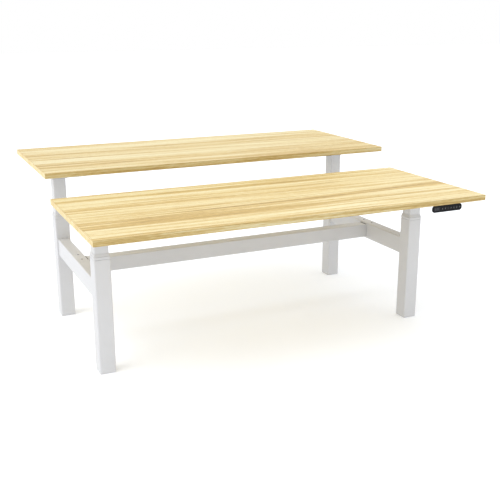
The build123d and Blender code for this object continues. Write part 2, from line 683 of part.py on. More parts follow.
def gear_housings(desk):
    """Cast gearboxes on the inner tubes, hollow for the worm wheel and the worm."""
    cavity_bottom = HOUSING_BOTTOM + HOUSING_FLOOR
    cavity_height = HOUSING_HEIGHT - HOUSING_FLOOR - HOUSING_ROOF
    worm_bore_length = MOTOR_SHAFT_LENGTH + WORM_LENGTH + WORM_END_GAP
    with BuildPart() as housings:
        for side in SIDES.values():
            x = side * COLUMN_X
            with BuildSketch(within(desk, Plane((x, -COLUMN_Y, HOUSING_BOTTOM)))):
                RectangleRounded(HOUSING_WIDTH, HOUSING_WIDTH, HOUSING_CORNER)
            extrude(amount=HOUSING_HEIGHT)
            with BuildSketch(within(desk, Plane((x, -COLUMN_Y, cavity_bottom)))):
                Circle(WHEEL_CAVITY_RADIUS)
            extrude(amount=cavity_height, mode=Mode.SUBTRACT)
            with BuildSketch(within(desk, Plane((x, -COLUMN_Y, HOUSING_BOTTOM)))):
                Circle(SPINDLE_RADIUS + SPINDLE_CLEARANCE)
            extrude(amount=HOUSING_HEIGHT - HOUSING_ROOF / 2, mode=Mode.SUBTRACT)
            with BuildSketch(within(desk, Plane.YZ.offset(side * HOUSING_FACE_X))):
                with Locations((-COLUMN_Y + WORM_OFFSET, MOTOR_AXIS_Z)):
                    Circle(WORM_BORE_RADIUS)
            extrude(amount=side * worm_bore_length, mode=Mode.SUBTRACT)
        with BuildSketch(desk.offset(HOUSING_TOP)):
            with Locations(*HOUSING_SCREW_PLACES):
                Circle(FLAT_SCREW_RADIUS + SCREW_CLEARANCE)
        extrude(amount=-HOUSING_HOLE_DEPTH, mode=Mode.SUBTRACT)
    return housings


def motors(desk):
    """Geared motors lying along the desktop, each with its worm inside the gearbox."""
    body = (
        (MOTOR_FLANGE, MOTOR_FLANGE_RADIUS),
        (MOTOR_LENGTH, MOTOR_RADIUS),
        (MOTOR_CAP, MOTOR_CAP_RADIUS),
    )
    shaft = ((MOTOR_SHAFT_LENGTH, MOTOR_SHAFT_RADIUS), (WORM_LENGTH, WORM_RADIUS))
    with BuildPart() as drives:
        for side in SIDES.values():
            for direction, sections in ((-side, body), (side, shaft)):
                x = side * HOUSING_FACE_X
                for length, radius in sections:
                    with BuildSketch(within(desk, Plane.YZ.offset(x))):
                        with Locations((-COLUMN_Y + WORM_OFFSET, MOTOR_AXIS_Z)):
                            Circle(radius)
                    extrude(amount=direction * length)
                    x += direction * length
    return drives


def spindle(desk, side):
    """A lifting screw with its worm wheel keyed on near the top."""
    axis = within(desk, Plane((side * COLUMN_X, -COLUMN_Y, 0)))
    top = HOUSING_TOP - HOUSING_ROOF / 2 - SPINDLE_TOP_GAP
    sections = ((WHEEL_HUB_RADIUS, WHEEL_HUB_HEIGHT), (WHEEL_RADIUS, WHEEL_THICKNESS))
    with BuildPart() as screw:
        with BuildSketch(axis.offset(SPINDLE_BOTTOM)):
            Circle(SPINDLE_RADIUS)
        extrude(amount=top - SPINDLE_BOTTOM)
        chamfer(screw.edges().group_by(Axis.Z)[0], SPINDLE_CHAMFER)
        for radius, height in sections:
            with BuildSketch(axis.offset(MOTOR_AXIS_Z - height / 2)):
                Circle(radius)
                Circle(SPINDLE_RADIUS + WHEEL_FIT, mode=Mode.SUBTRACT)
            extrude(amount=height)
    return screw


def desk_screws(desk):
    """Wood screws into the desktop, flat screws into the gearboxes and end plate screws."""
    frame = over_frame(desk)
    wood_screws = [(frame, *screw) for screw in FRAME_WOOD_SCREWS]
    wood_screws += [(desk, *screw) for screw in HANDSET_WOOD_SCREWS]
    with BuildPart() as screws:
        for plane, place, thickness in wood_screws:
            with BuildSketch(within(plane, Plane((*place, -thickness)))):
                Circle(WOOD_SCREW_RADIUS)
            extrude(amount=thickness + WOOD_SCREW_DEPTH - WOOD_SCREW_TIP_GAP)
            with BuildSketch(within(plane, Plane((*place, -thickness)))):
                Circle(WOOD_SCREW_HEAD_RADIUS)
            extrude(amount=-WOOD_SCREW_HEAD, taper=WOOD_SCREW_HEAD_TAPER)
        head_depth = FLAT_SCREW_HEAD_RADIUS - FLAT_SCREW_RADIUS
        for place in HOUSING_SCREW_PLACES:
            with BuildSketch(frame):
                with Locations(place):
                    Circle(FLAT_SCREW_HEAD_RADIUS - SCREW_CLEARANCE)
            with BuildSketch(frame.offset(-head_depth)):
                with Locations(place):
                    Circle(FLAT_SCREW_RADIUS)
            loft()
            with BuildSketch(frame.offset(-head_depth)):
                with Locations(place):
                    Circle(FLAT_SCREW_RADIUS)
            extrude(amount=-HOUSING_SCREW_DEPTH)
        for side in SIDES.values():
            for place in END_SCREW_PLACES:
                wall = within(frame, Plane.YZ.offset(side * (ARM_INNER_X + ARM_PLATE)))
                with BuildSketch(wall):
                    with Locations(place):
                        Circle(SCREW_RADIUS)
                extrude(amount=-side * SCREW_LENGTH)
                with BuildSketch(wall):
                    with Locations(place):
                        Circle(SCREW_HEAD_RADIUS)
                extrude(amount=side * SCREW_HEAD)
    return screws


def control_box(desk):
    """The controller's case: screw tabs, a mains inlet at one end and sockets at the other."""
    middle = -BOX_TAB - BOX_HEIGHT / 2
    inlet_x = BOX_X - BOX_LENGTH / 2
    pins = [
        (ARM_CENTRE_Y + step * INLET_PIN_SPREAD, middle + INLET_PIN_Z - abs(step) * INLET_PIN_DROP)
        for step in (-1, 0, 1)
    ]
    with BuildPart() as case:
        with BuildSketch(within(desk, Plane((BOX_X, ARM_CENTRE_Y, -BOX_TAB)))):
            RectangleRounded(BOX_LENGTH, BOX_DEPTH, BOX_CORNER)
        extrude(amount=-BOX_HEIGHT)
        fillet(case.faces().sort_by(Axis.Z)[0].edges(), BOX_EDGE)
        with BuildSketch(desk):
            with Locations((BOX_X, ARM_CENTRE_Y)):
                RectangleRounded(BOX_TAB_LENGTH, BOX_TAB_DEPTH, BOX_CORNER)
        extrude(amount=-BOX_TAB)
        with BuildSketch(desk):
            with Locations(*BOX_SCREW_PLACES):
                Circle(WOOD_SCREW_RADIUS + SCREW_CLEARANCE)
        extrude(amount=-BOX_TAB, mode=Mode.SUBTRACT)
        with BuildSketch(within(desk, Plane.YZ.offset(inlet_x))):
            with Locations((ARM_CENTRE_Y, middle)):
                RectangleRounded(INLET_WIDTH, INLET_HEIGHT, INLET_CORNER)
        extrude(amount=INLET_DEPTH, mode=Mode.SUBTRACT)
        with BuildSketch(within(desk, Plane.YZ.offset(inlet_x + INLET_DEPTH))):
            with Locations(*pins):
                Rectangle(INLET_PIN_WIDTH, INLET_PIN_HEIGHT)
        extrude(amount=-INLET_PIN_LENGTH)
        with BuildSketch(within(desk, Plane.YZ.offset(BOX_X + BOX_LENGTH / 2))):
            with Locations(*[(ARM_CENTRE_Y + step * SOCKET_PITCH, middle) for step in (-1, 0, 1)]):
                Rectangle(SOCKET_WIDTH, SOCKET_HEIGHT)
        extrude(amount=-SOCKET_DEPTH, mode=Mode.SUBTRACT)
    return case


def handset_face(desk):
    """The plane of the handset's front, looking towards the person."""
    front = Plane((0, HANDSET_FACE_Y, 0), x_dir=(1, 0, 0), z_dir=(0, -1, 0))
    return within(desk, front)


def outward_axis(desk):
    """The direction from the desktop towards the person who sits there."""
    return Axis.Y if desk.x_dir.X < 0 else -Axis.Y


def button_places():
    """Centres of the buttons on the handset's front."""
    columns = [FIRST_BUTTON_X + index * BUTTON_PITCH for index in range(BUTTON_COUNT)]
    return [(x, HANDSET_CENTRE_Z) for x in columns]


def handset_case(desk):
    """A pill-shaped front on a narrower body and mounting tongue, with its recess and wells."""
    face = handset_face(desk)
    body_length = HANDSET_LENGTH - 2 * HANDSET_BODY_INSET
    body_height = HANDSET_HEIGHT - 2 * HANDSET_BODY_MARGIN
    with BuildPart() as case:
        with BuildSketch(face):
            with Locations((HANDSET_X, HANDSET_CENTRE_Z)):
                RectangleRounded(HANDSET_LENGTH, HANDSET_HEIGHT, HANDSET_CORNER)
        extrude(amount=-HANDSET_PLATE)
        fillet(case.edges().group_by(Axis.Y)[0], HANDSET_EDGE)
        fillet(case.edges().group_by(Axis.Y)[-1], HANDSET_EDGE)
        with BuildSketch(face.offset(-HANDSET_PLATE)):
            with Locations((HANDSET_X, HANDSET_CENTRE_Z)):
                RectangleRounded(body_length, body_height, HANDSET_BODY_CORNER)
        extrude(amount=HANDSET_PLATE - HANDSET_DEPTH)
        fillet(case.faces().sort_by(outward_axis(desk))[0].edges(), HANDSET_EDGE)
        with BuildSketch(desk):
            with Locations((HANDSET_X, HANDSET_BACK_Y + (TONGUE_DEPTH - TONGUE_LAP) / 2)):
                RectangleRounded(TONGUE_LENGTH, TONGUE_DEPTH + TONGUE_LAP, TONGUE_CORNER)
        extrude(amount=-TONGUE_THICKNESS)
        with BuildSketch(desk):
            with Locations(*HANDSET_SCREW_PLACES):
                Circle(WOOD_SCREW_RADIUS + SCREW_CLEARANCE)
        extrude(amount=-TONGUE_THICKNESS, mode=Mode.SUBTRACT)
        with BuildSketch(face):
            with Locations((DISPLAY_X, HANDSET_CENTRE_Z)):
                RectangleRounded(DISPLAY_WIDTH, DISPLAY_HEIGHT, DISPLAY_CORNER)
        extrude(amount=-DISPLAY_DEPTH, mode=Mode.SUBTRACT)
        with BuildSketch(face):
            with Locations(*button_places()):
                RectangleRounded(
                    BUTTON_WIDTH + 2 * BUTTON_CLEARANCE,
                    BUTTON_HEIGHT + 2 * BUTTON_CLEARANCE,
                    BUTTON_CORNER + BUTTON_CLEARANCE,
                )
        extrude(amount=-BUTTON_WELL, mode=Mode.SUBTRACT)
    return case


def display_window(desk):
    """The dark window over the height display."""
    with BuildPart() as window:
        with BuildSketch(handset_face(desk).offset(-DISPLAY_DEPTH)):
            with Locations((DISPLAY_X, HANDSET_CENTRE_Z)):
                RectangleRounded(DISPLAY_WIDTH, DISPLAY_HEIGHT, DISPLAY_CORNER)
        extrude(amount=DISPLAY_DEPTH)
    return window


def button(desk, place):
    """One key of the handset, standing a little proud of its front."""
    with BuildPart() as key:
        with BuildSketch(handset_face(desk).offset(BUTTON_PROUD - BUTTON_THICKNESS)):
            with Locations(place):
                RectangleRounded(BUTTON_WIDTH, BUTTON_HEIGHT, BUTTON_CORNER)
        extrude(amount=BUTTON_THICKNESS)
        fillet(key.faces().sort_by(outward_axis(desk))[-1].edges(), BUTTON_EDGE)
    return key


def build_desk(name, underside_z, direction):
    """Make every piece that rides up and down with one desktop."""
    desk = Plane((0, 0, underside_z), x_dir=(direction, 0, 0), z_dir=(0, 0, 1))
    write(desktop(desk), f"{name}_desktop")
    write(lower_glides(desk), f"{name}_lower_glides", FRAME_Y)
    write(side_arms(desk), f"{name}_side_arms", FRAME_Y)
    write(cross_rails(desk), f"{name}_cross_rails", FRAME_Y)
    write(gear_housings(desk), f"{name}_gear_housings", FRAME_Y)
    write(motors(desk), f"{name}_motors", FRAME_Y)
    write(desk_screws(desk), f"{name}_screws")
    write(control_box(desk), f"{name}_control_box", FRAME_Y)
    write(handset_case(desk), f"{name}_handset_case")
    write(display_window(desk), f"{name}_display_window")
    for hand, side in SIDES.items():
        write(inner_column(desk, side * direction), f"{name}_inner_column_{hand}", FRAME_Y)
        write(spindle(desk, side * direction), f"{name}_spindle_{hand}", FRAME_Y)
    for index, place in enumerate(button_places()):
        write(button(desk, place), f"{name}_button_{index + 1}")


os.makedirs("parts", exist_ok=True)

for column_name, column_place in COLUMN_PLACES.items():
    write(outer_column(column_place), f"outer_column_{column_name}", FRAME_Y)
    write(levelling_foot(column_place), f"levelling_foot_{column_name}", FRAME_Y)
for hand_name, hand_side in SIDES.items():
    write(side_rail(hand_side), f"side_rail_{hand_name}", FRAME_Y)
write(column_collars(), "column_collars", FRAME_Y)
write(upper_glides(), "upper_glides", FRAME_Y)
write(nut_tubes(), "nut_tubes", FRAME_Y)
write(spindle_nuts(), "spindle_nuts", FRAME_Y)
write(rail_brackets(), "rail_brackets", FRAME_Y)
write(centre_beam(), "centre_beam", FRAME_Y)
write(beam_brackets(), "beam_brackets", FRAME_Y)
write(button_head_screws(underframe_screw_planes()), "underframe_screws", FRAME_Y)

build_desk("front", FRONT_UNDERSIDE_Z, 1)
build_desk("back", BACK_UNDERSIDE_Z, -1)
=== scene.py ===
import json
import math

import bpy
import bmesh
from mathutils import Matrix, Vector


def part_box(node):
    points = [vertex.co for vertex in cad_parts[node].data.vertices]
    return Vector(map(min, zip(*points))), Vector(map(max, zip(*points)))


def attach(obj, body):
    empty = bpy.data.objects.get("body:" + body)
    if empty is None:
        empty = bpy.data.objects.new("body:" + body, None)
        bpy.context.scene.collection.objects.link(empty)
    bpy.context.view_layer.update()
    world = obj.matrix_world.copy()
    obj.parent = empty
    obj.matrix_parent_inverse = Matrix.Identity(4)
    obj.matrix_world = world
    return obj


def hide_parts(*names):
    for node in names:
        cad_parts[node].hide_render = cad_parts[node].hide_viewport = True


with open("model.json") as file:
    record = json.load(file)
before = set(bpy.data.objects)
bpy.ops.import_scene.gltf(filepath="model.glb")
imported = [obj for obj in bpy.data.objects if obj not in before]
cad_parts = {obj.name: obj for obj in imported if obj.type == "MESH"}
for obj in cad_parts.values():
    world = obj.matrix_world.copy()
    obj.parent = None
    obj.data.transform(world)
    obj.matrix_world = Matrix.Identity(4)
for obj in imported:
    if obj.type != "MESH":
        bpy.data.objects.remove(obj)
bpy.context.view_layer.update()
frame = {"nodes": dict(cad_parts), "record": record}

# Two-person sit-stand desk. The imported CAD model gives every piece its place. This script
# gives each node its finish, stands detailed pieces in for the plain screws, feet and
# motors, adds the small parts on the handsets, gearboxes, control boxes and beam, and sets
# up the floor, the light and the camera. Metres, +Z up, +X along the desktops.

MM = 0.001
DESKS = {"front": 1, "back": -1}
SIDES = {"left": -1, "right": 1}
nodes = frame["nodes"]


# ---------------------------------------------------------------- material graphs
class Graph:
    """A material's node tree, with short calls for the nodes that the finishes share."""

    MIX_SHARE, MIX_FIRST, MIX_SECOND, MIX_RESULT = 0, 6, 7, 2

    def __init__(self, name):
        self.material = bpy.data.materials.new(name)
        self.material.use_nodes = True
        self.tree = self.material.node_tree
        self.shader = self.tree.nodes["Principled BSDF"]
        self.coordinates = self.tree.nodes.new("ShaderNodeTexCoord").outputs["Object"]

    def feed(self, socket, value):
        """Link a socket to another node's output, or set it to a number or a colour."""
        if isinstance(value, bpy.types.NodeSocket):
            self.tree.links.new(value, socket)
        elif isinstance(value, tuple) and socket.type == "RGBA":
            socket.default_value = (*value, 1)
        else:
            socket.default_value = value

    def mapping(self, scale, shift=(0, 0, 0), source=None):
        node = self.tree.nodes.new("ShaderNodeMapping")
        node.inputs["Scale"].default_value = scale
        node.inputs["Location"].default_value = shift
        self.feed(node.inputs["Vector"], source or self.coordinates)
        return node.outputs["Vector"]

    def noise(self, vector, scale=1.0, detail=2.0, roughness=0.5):
        node = self.tree.nodes.new("ShaderNodeTexNoise")
        node.inputs["Scale"].default_value = scale
        node.inputs["Detail"].default_value = detail
        node.inputs["Roughness"].default_value = roughness
        self.feed(node.inputs["Vector"], vector)
        return node.outputs["Fac"]

    def math(self, operation, first, second=0.0):
        node = self.tree.nodes.new("ShaderNodeMath")
        node.operation = operation
        self.feed(node.inputs[0], first)
        self.feed(node.inputs[1], second)
        return node.outputs[0]

    def ramp(self, value, stops):
        node = self.tree.nodes.new("ShaderNodeValToRGB")
        elements = node.color_ramp.elements
        while len(elements) < len(stops):
            elements.new(0.5)
        for element, (place, colour) in zip(elements, stops):
            element.position = place
            element.color = (*colour, 1)
        self.feed(node.inputs["Fac"], value)
        return node.outputs["Color"]

    def spread(self, value, low, high, start=0.0, end=1.0):
        node = self.tree.nodes.new("ShaderNodeMapRange")
        node.inputs["From Min"].default_value = start
        node.inputs["From Max"].default_value = end
        node.inputs["To Min"].default_value = low
        node.inputs["To Max"].default_value = high
        self.feed(node.inputs["Value"], value)
        return node.outputs["Result"]

    def blend(self, share, first, second):
        node = self.tree.nodes.new("ShaderNodeMix")
        node.data_type = "RGBA"
        self.feed(node.inputs[self.MIX_SHARE], share)
        self.feed(node.inputs[self.MIX_FIRST], first)
        self.feed(node.inputs[self.MIX_SECOND], second)
        return node.outputs[self.MIX_RESULT]

    def axes(self):
        node = self.tree.nodes.new("ShaderNodeSeparateXYZ")
        self.feed(node.inputs[0], self.coordinates)
        return node.outputs

    def bump(self, height, distance, after=None):
        node = self.tree.nodes.new("ShaderNodeBump")
        node.inputs["Distance"].default_value = distance
        self.feed(node.inputs["Height"], height)
        if after:
            self.feed(node.inputs["Normal"], after)
        return node.outputs["Normal"]

    def set(self, **values):
        """Link or set the shader's own sockets, named with _ for a space."""
        for name, value in values.items():
            self.feed(self.shader.inputs[name.replace("_", " ")], value)
        return self.material


# ---------------------------------------------------------------- finishes
CREAM = (0.845, 0.760, 0.480)
PALE = (0.770, 0.630, 0.320)
HONEY = (0.680, 0.500, 0.200)
TAN = (0.560, 0.385, 0.125)
UMBER = (0.400, 0.255, 0.080)
PALETTE = [(0.10, UMBER), (0.27, TAN), (0.43, HONEY), (0.58, PALE), (0.86, CREAM)]
MEAN_TONE = 0.54
EDGE_BAND = 4.0 * MM
GLUE_LINE = 1.5 * MM
# Depth of the painted shade along the top of the edges and ends.
CORNER_SHADE_DEPTH = 2.5 * MM


def glue_line(g, low, high):
    """A mask for the seam between the board's face and its edge bands."""
    x, y, _ = g.axes()
    masks = []
    for axis, near, far in ((x, low.x, high.x), (y, low.y, high.y)):
        centred = g.math("ABSOLUTE", g.math("SUBTRACT", axis, (near + far) / 2))
        offset = g.math("ABSOLUTE", g.math("SUBTRACT", centred, (far - near) / 2 - EDGE_BAND))
        masks.append(g.math("LESS_THAN", offset, GLUE_LINE / 2))
    return g.math("MULTIPLY", g.math("MAXIMUM", *masks), 0.6)


def painted_corner_shade(g, low, high):
    """A mask for painted shade: a darker line along the top of an edge band, where its rounded
    corner turns away from the light.
    """
    return g.math("MULTIPLY", g.math("GREATER_THAN", g.axes()[2], high.z - CORNER_SHADE_DEPTH), 0.4)


def wood(name, shift, tint=1.0, line=None, box=None, contrast=1.0):
    """Pale straight-grained timber along X: broad bands, crisp streaks, flecks and pores."""
    g = Graph(name)
    bow = g.tree.nodes.new("ShaderNodeCombineXYZ")
    g.feed(bow.inputs["Y"], g.spread(g.noise(g.mapping((1.1, 6, 6), shift)), -0.010, 0.010))
    bowed = g.tree.nodes.new("ShaderNodeVectorMath")
    g.feed(bowed.inputs[0], g.coordinates)
    g.feed(bowed.inputs[1], bow.outputs[0])
    grain = bowed.outputs[0]
    bands = g.noise(g.mapping((0.35, 9, 9), shift, grain), detail=1)
    streaks = g.noise(g.mapping((0.9, 38, 38), shift, grain), detail=2.5)
    lines = g.noise(g.mapping((2.2, 120, 120), shift, grain), detail=4, roughness=0.6)
    flecks = g.noise(g.mapping((30, 330, 330), shift, grain))
    pores = g.noise(g.mapping((70, 1500, 1500), shift, grain), detail=1)
    tone = MEAN_TONE
    for source, low, high, share in (
        (bands, 0.30, 0.70, 0.16),
        (streaks, 0.40, 0.60, 0.17),
        (lines, 0.36, 0.64, 0.18),
        (flecks, 0.32, 0.68, 0.12),
    ):
        reach = share * contrast
        tone = g.math("ADD", g.spread(source, -reach, reach, low, high), tone)
    timber = g.ramp(tone, [(at, tuple(tint * c for c in rgb)) for at, rgb in PALETTE])
    pits = g.spread(pores, 0, 1, 0.60, 0.70)
    timber = g.blend(g.math("MULTIPLY", pits, 0.45), timber, UMBER)
    # A dark line from the given mask: the glue line on the face, and painted shade along the top of
    # the edges and ends.
    if line:
        timber = g.blend(line(g, *box), timber, UMBER)
    dips = g.bump(g.math("SUBTRACT", 1.0, pits), 0.10 * MM)
    relief = g.bump(flecks, 0.05 * MM, after=g.bump(lines, 0.08 * MM, after=dips))
    return g.set(
        Base_Color=timber,
        Roughness=g.spread(lines, 0.42, 0.58, 0.3, 0.7),
        Normal=relief,
        Specular_IOR_Level=0.35,
    )


def powder_coat(name, colour, gloss=0.42, shine=0.5):
    """Baked powder paint: an even colour with a faint mottle and orange-peel texture."""
    g = Graph(name)
    mottle = g.noise(g.coordinates, scale=9, detail=3)
    deep, light = (tuple(c * k for c in colour) for k in (0.985, 1.012))
    peel = g.noise(g.coordinates, scale=520)
    grit = g.noise(g.coordinates, scale=2600, detail=1)
    return g.set(
        Base_Color=g.ramp(mottle, [(0.3, deep), (0.7, light)]),
        Roughness=g.spread(peel, gloss - 0.05, gloss + 0.07, 0.3, 0.7),
        Normal=g.bump(grit, 0.02 * MM, after=g.bump(peel, 0.08 * MM)),
        Specular_IOR_Level=shine,
    )


def moulding(name, colour, rough, drift=0.1, depth=0.04, shine=0.5):
    """Moulded plastic with a fine spark-eroded grain and a slight drift in colour."""
    g = Graph(name)
    cloud = g.noise(g.coordinates, scale=25)
    deep, light = (tuple(c * k for c in colour) for k in (1 - drift, 1 + drift))
    grain = g.noise(g.coordinates, scale=1400)
    return g.set(
        Base_Color=g.ramp(cloud, [(0.3, deep), (0.7, light)]),
        Roughness=g.spread(grain, rough - 0.06, rough + 0.08, 0.3, 0.7),
        Normal=g.bump(grain, depth * MM),
        Specular_IOR_Level=shine,
    )


def bare_metal(name, colour, rough, direction=(1, 1, 1)):
    """Plated or machined metal with fine marks drawn out along one direction."""
    g = Graph(name)
    marks = g.noise(g.mapping(tuple(700 * d for d in direction)), detail=3)
    cloud = g.noise(g.coordinates, scale=40, detail=3)
    return g.set(
        Base_Color=g.ramp(cloud, [(0.3, tuple(c * 0.86 for c in colour)), (0.7, colour)]),
        Roughness=g.spread(marks, rough - 0.08, rough + 0.12, 0.3, 0.7),
        Normal=g.bump(marks, 0.03 * MM),
        Metallic=1.0,
    )


def cast_metal(name, colour):
    """As-cast alloy with a sandy skin."""
    g = Graph(name)
    sand = g.noise(g.coordinates, scale=900, detail=4, roughness=0.7)
    return g.set(
        Base_Color=g.ramp(sand, [(0.25, tuple(c * 0.75 for c in colour)), (0.75, colour)]),
        Roughness=g.spread(sand, 0.42, 0.68, 0.3, 0.7),
        Normal=g.bump(sand, 0.15 * MM),
        Metallic=1.0,
    )


WHITE = (0.596, 0.597, 0.606)
FINISHES = {
    "white_powder_coat": powder_coat("powder_coat_white", WHITE),
    "dark_bracket_steel": powder_coat("bracket_paint", (0.012, 0.012, 0.012), 0.75, 0.06),
    "zinc_steel": bare_metal("zinc_plate", (0.62, 0.63, 0.64), 0.38),
    "nut_bronze": bare_metal("bronze", (0.55, 0.38, 0.16), 0.32),
    "glide_plastic": moulding("acetal", (0.80, 0.80, 0.77), 0.38, drift=0.02),
    "collar_plastic": moulding("collar_moulding", WHITE, 0.45, drift=0.01),
    "zinc_screw_steel": bare_metal("screw_steel", (0.42, 0.42, 0.43), 0.30),
    "foot_plastic": moulding("foot_moulding", (0.03, 0.03, 0.03), 0.5),
    "cast_aluminium": cast_metal("cast_alloy", (0.60, 0.60, 0.61)),
    "motor_black": powder_coat("motor_enamel", (0.03, 0.03, 0.035), 0.35),
    "case_black": moulding("case_moulding", (0.025, 0.025, 0.026), 0.48),
    "handset_black": moulding("handset_moulding", (0.006, 0.006, 0.007), 0.26, shine=0.12),
    "display_dark": moulding("display_window", (0.018, 0.018, 0.020), 0.12, depth=0.002, shine=0.2),
    "button_black": moulding("key_moulding", (0.010, 0.010, 0.011), 0.34, shine=0.15),
    "spindle_steel": bare_metal("rolled_steel", (0.55, 0.55, 0.57), 0.3, (0.2, 0.2, 3)),
}
MARKING = moulding("key_marking", (0.20, 0.20, 0.20), 0.5, drift=0.05)
UNLIT = moulding("unlit_segment", (0.050, 0.050, 0.053), 0.3, drift=0.05)
LAMP = moulding("status_lamp", (0.10, 0.35, 0.12), 0.15, drift=0.05)
GRAIN_SHIFTS = {"front": (0.0, 0.0, 0.0), "back": (7.3, 2.9, 1.4)}
FACE_TINTS = {"front": 1.0, "back": 0.94}
EDGE_SHIFT = Vector((3.1, 5.7, 0.6))
EDGE_TINT = 0.78
END_SHIFT = Vector((1.7, 9.2, 3.3))
END_TINT = 0.95
END_CONTRAST = 0.35


def give_finish(node, *materials):
    mesh = nodes[node].data
    mesh.materials.clear()
    for material in materials:
        mesh.materials.append(material)


def finish_nodes():
    """Give every CAD node the finish of its material slot."""
    for entry in frame["record"]["subparts"]:
        if entry["material_slot"] in FINISHES:
            give_finish(entry["node"], FINISHES[entry["material_slot"]])


def finish_board(desk):
    """Three woods on one board: its faces, its long edges and its ends."""
    node = f"{desk}_desktop"
    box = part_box(node)
    shift = Vector(GRAIN_SHIFTS[desk])
    face = wood(f"{desk}_face_wood", shift, FACE_TINTS[desk], glue_line, box)
    # The edges and ends carry painted shade along their tops.
    edge = wood(f"{desk}_edge_wood", shift + EDGE_SHIFT, EDGE_TINT, painted_corner_shade, box)
    end = wood(f"{desk}_end_wood", shift + END_SHIFT, END_TINT, painted_corner_shade, box, END_CONTRAST)
    give_finish(node, face, edge, end)
    for polygon in nodes[node].data.polygons:
        normal = polygon.normal
        if abs(normal.z) > max(abs(normal.x), abs(normal.y)):
            polygon.material_index = 0
        else:
            polygon.material_index = 1 if abs(normal.y) > abs(normal.x) else 2


# ---------------------------------------------------------------- mesh helpers
SMOOTH_ANGLE = math.radians(32)


def circle(angle):
    return 1.0


def hexagon(angle):
    """A hexagon's reach, as a share of its corners' reach."""
    sector = math.pi / 3
    return math.cos(sector / 2) / math.cos(angle % sector - sector / 2)


def cross(angle):
    """A cross recess."""
    return 0.40 + 0.60 * abs(math.cos(2 * angle)) ** 3


def fluted(angle):
    """A rim with 24 shallow flutes."""
    return 1.0 - 0.03 * max(0.0, math.cos(24 * angle))


def aim(origin, direction):
    """A frame at origin whose Z looks along direction."""
    turn = Vector(direction).to_track_quat("Z", "Y").to_matrix().to_4x4()
    return Matrix.Translation(origin) @ turn


def close_loops(shape, loops):
    """Join neighbouring loops of vertices with faces and cap both ends."""
    count = len(loops[0])
    for lower, upper in zip(loops, loops[1:]):
        for step in range(count):
            after = (step + 1) % count
            shape.faces.new((lower[step], lower[after], upper[after], upper[step]))
    shape.faces.new(list(reversed(loops[0])))
    shape.faces.new(loops[-1])


def turned(shape, place, rings, segments=24):
    """Add a closed body of rings stacked along Z: each is its height, radius and outline."""
    loops = []
    for height, radius, outline in rings:
        loop = []
        for step in range(segments):
            angle = 2 * math.pi * step / segments
            reach = radius * outline(angle)
            point = Vector((reach * math.cos(angle), reach * math.sin(angle), height))
            loop.append(shape.verts.new(place @ point))
        loops.append(loop)
    close_loops(shape, loops)


def rounded(width, height, corner, steps=5):
    """The outline of a rounded rectangle round the origin."""
    points = []
    for quarter, (sx, sy) in enumerate(((1, 1), (-1, 1), (-1, -1), (1, -1))):
        for step in range(steps + 1):
            angle = math.pi / 2 * (quarter + step / steps)
            x = sx * (width / 2 - corner) + corner * math.cos(angle)
            y = sy * (height / 2 - corner) + corner * math.sin(angle)
            points.append((x, y))
    return points


def slab(shape, place, outline, thickness, edge=0.0):
    """Add a flat piece on the frame's XY plane, with the edge of its top eased."""
    reach = max(max(abs(x), abs(y)) for x, y in outline)
    levels = [(0.0, 1.0), (thickness - edge, 1.0)]
    if edge:
        levels.append((thickness, 1.0 - edge / reach))
    loops = []
    for z, k in levels:
        loops.append([shape.verts.new(place @ Vector((x * k, y * k, z))) for x, y in outline])
    close_loops(shape, loops)


def add_piece(name, shape, body, slot, material=None, stands_for=()):
    """Turn a finished bmesh into a piece that rides on a body."""
    bmesh.ops.recalc_face_normals(shape, faces=shape.faces)
    mesh = bpy.data.meshes.new(name)
    shape.to_mesh(mesh)
    shape.free()
    mesh.polygons.foreach_set("use_smooth", [True] * len(mesh.polygons))
    mesh.set_sharp_from_angle(angle=SMOOTH_ANGLE)
    mesh.materials.append(material or FINISHES[slot])
    piece = bpy.data.objects.new(name, mesh)
    bpy.context.scene.collection.objects.link(piece)
    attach(piece, body)
    if stands_for:
        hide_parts(*stands_for)


def extent(points):
    """Lowest and highest corner of some points."""
    low = Vector([min(p[axis] for p in points) for axis in range(3)])
    high = Vector([max(p[axis] for p in points) for axis in range(3)])
    return low, high


def solids(node):
    """The vertex positions of each separate solid in a CAD node, in a fixed order."""
    shape = bmesh.new()
    shape.from_mesh(nodes[node].data)
    bmesh.ops.remove_doubles(shape, verts=shape.verts, dist=0.001 * MM)
    shape.verts.ensure_lookup_table()
    seen = set()
    found = []
    for start in shape.verts:
        if start in seen:
            continue
        seen.add(start)
        group = [start]
        for vert in group:
            for link in vert.link_edges:
                other = link.other_vert(vert)
                if other not in seen:
                    seen.add(other)
                    group.append(other)
        found.append([vert.co.copy() for vert in group])
    shape.free()
    return found


# ---------------------------------------------------------------- screws
def thread(shank, radius):
    """Rings of a threaded shank from its tip, which points down, to the seat of the head."""
    pitch = 0.45 * radius
    count = int(shank / pitch) - 2
    rings = [(-shank, 0.45 * radius, circle)]
    for turn in range(count):
        height = -shank + pitch * (turn + 1)
        rings.append((height, 0.80 * radius, circle))
        rings.append((height + pitch / 2, radius, circle))
    return rings + [(0.0, radius, circle)]


def button_head(radius, height):
    """A domed head with a hexagon socket."""
    return [
        (0.0, 0.97 * radius, circle),
        (0.15 * height, radius, circle),
        (0.50 * height, 0.93 * radius, circle),
        (0.85 * height, 0.76 * radius, circle),
        (height, 0.58 * radius, circle),
        (height, 0.44 * radius, hexagon),
        (0.30 * height, 0.44 * radius, hexagon),
    ]


def pan_head(radius, height):
    """A low wood-screw head with a cross recess."""
    return [
        (0.0, 0.96 * radius, circle),
        (0.20 * height, radius, circle),
        (0.65 * height, 0.93 * radius, circle),
        (height, 0.66 * radius, circle),
        (height, 0.54 * radius, cross),
        (0.25 * height, 0.26 * radius, cross),
    ]


def flat_head(radius, height):
    """A countersunk head with a cross recess."""
    return [
        (height, radius, circle),
        (height, 0.62 * radius, cross),
        (0.30 * height, 0.30 * radius, cross),
    ]


